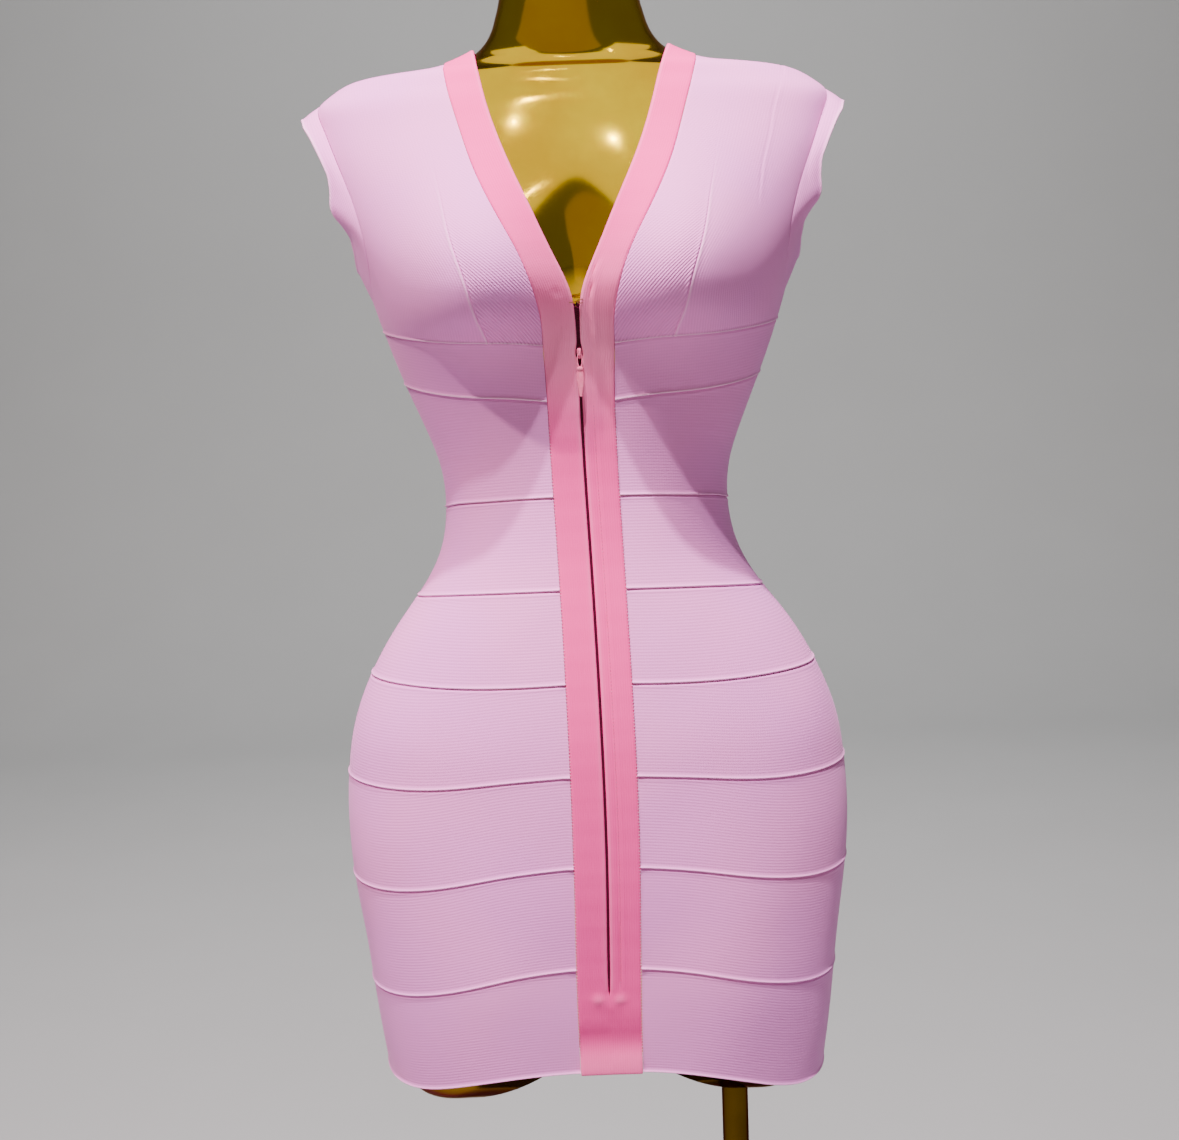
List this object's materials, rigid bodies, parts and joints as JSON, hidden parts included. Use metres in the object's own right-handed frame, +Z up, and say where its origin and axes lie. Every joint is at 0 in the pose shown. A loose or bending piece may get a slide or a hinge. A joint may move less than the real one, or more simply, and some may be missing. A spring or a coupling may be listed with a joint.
{
  "type": "bodycon dress on a limbless dress form with a pole stand",
  "caption": "Short bandage-knit bodycon dress with a plunging V neck, cap sleeves and a full front zip between trim strips, shown on a gold limbless dress form with a pole and round base.",
  "frame": {"origin": "centre of the base plate's underside, on the floor", "axes": "+Z up, -Y the wearer's front with the zip, +X the wearer's left"},
  "size_m": [0.405, 0.36, 1.557],
  "materials": {
    "bandage_knit": "pale pink bandage knit with fine ribs",
    "deep_pink_trim": "deeper pink close knit strip",
    "zip_tape": "dark maroon woven zip tape",
    "painted_metal": "pink lacquered metal",
    "gold_form": "polished gold coating on fibreglass",
    "gold_plated_steel": "gold plated steel"
  },
  "bodies": {
    "dress_and_stand": {"back_neck_binding": "deep_pink_trim", "base_plate": "gold_plated_steel", "bodice_back": "bandage_knit", "bodice_left": "bandage_knit", "bodice_right": "bandage_knit", "dress_form": "gold_form", "eye": "painted_metal", "front_trim_left": "deep_pink_trim", "front_trim_right": "deep_pink_trim", "hem_band_back": "bandage_knit", "hem_band_left": "bandage_knit", "hem_band_right": "bandage_knit", "high_hip_band_back": "bandage_knit", "high_hip_band_left": "bandage_knit", "high_hip_band_right": "bandage_knit", "hip_band_back": "bandage_knit", "hip_band_left": "bandage_knit", "hip_band_right": "bandage_knit", "hook": "painted_metal", "midriff_band_back": "bandage_knit", "midriff_band_left": "bandage_knit", "midriff_band_right": "bandage_knit", "pole": "gold_plated_steel", "pole_collar": "gold_plated_steel", "ribcage_band_back": "bandage_knit", "ribcage_band_left": "bandage_knit", "ribcage_band_right": "bandage_knit", "seat_band_back": "bandage_knit", "seat_band_left": "bandage_knit", "seat_band_right": "bandage_knit", "sleeve_band_left": "bandage_knit", "sleeve_band_right": "bandage_knit", "thigh_band_back": "bandage_knit", "thigh_band_left": "bandage_knit", "thigh_band_right": "bandage_knit", "waist_band_back": "bandage_knit", "waist_band_left": "bandage_knit", "waist_band_right": "bandage_knit", "zip_slider": "painted_metal", "zip_tape_left": "zip_tape", "zip_tape_right": "zip_tape"},
    "pull_tab": {"zip_pull": "painted_metal"}
  },
  "joints": [
    {"name": "pull_swing", "type": "hinge", "parent": "dress_and_stand", "child": "pull_tab", "pos_m": [-0.00149, -0.09716, 1.23784], "axis": [-1, 0, 0], "range_deg": [-6, 150]}
  ]
}
